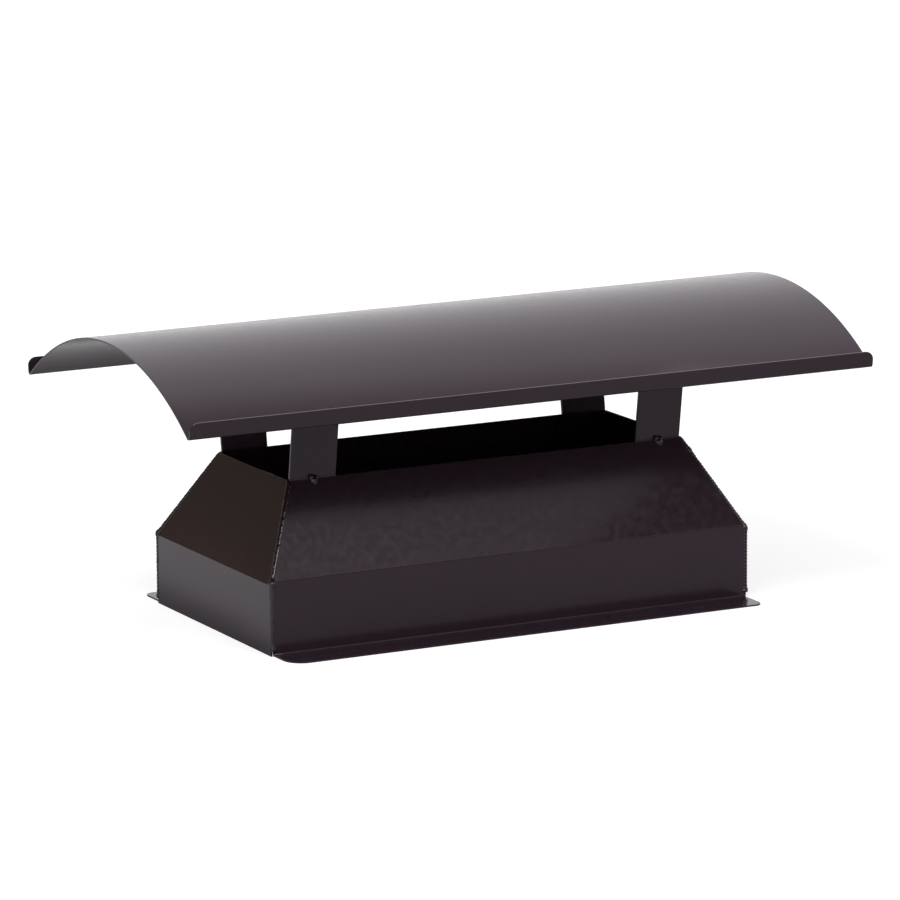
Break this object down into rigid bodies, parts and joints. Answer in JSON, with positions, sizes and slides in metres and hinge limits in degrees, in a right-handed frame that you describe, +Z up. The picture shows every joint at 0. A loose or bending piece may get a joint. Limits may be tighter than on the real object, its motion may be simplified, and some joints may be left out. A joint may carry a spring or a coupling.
{
  "type": "chimney cowl",
  "caption": "Rectangular chimney cowl: a tapered base box with side fixing flanges and an open throat, under an arched rain hood carried on bent flat-bar legs.",
  "frame": {"origin": "middle of the base opening, at the underside of the fixing flanges, which is the bottom centre of the whole cowl", "axes": "+X along the length of the hood and base, towards the right end; +Z up out of the flue; the front long side looks towards -Y"},
  "size_m": [0.747, 0.3832, 0.297],
  "materials": {
    "painted_steel": "satin black paint on sheet steel",
    "painted_weld": "gloss black paint over a rough weld bead"
  },
  "bodies": {
    "root": {"front_panel": "painted_steel", "back_panel": "painted_steel", "left_end_panel": "painted_steel", "right_end_panel": "painted_steel", "corner_weld_front_left": "painted_weld", "corner_weld_front_right": "painted_weld", "corner_weld_back_left": "painted_weld", "corner_weld_back_right": "painted_weld", "leg_front_left": "painted_steel", "leg_front_right": "painted_steel", "leg_back_left": "painted_steel", "leg_back_right": "painted_steel", "tack_front_left": "painted_weld", "tack_front_right": "painted_weld", "tack_back_left": "painted_weld", "tack_back_right": "painted_weld", "hood": "painted_steel"}
  },
  "joints": []
}
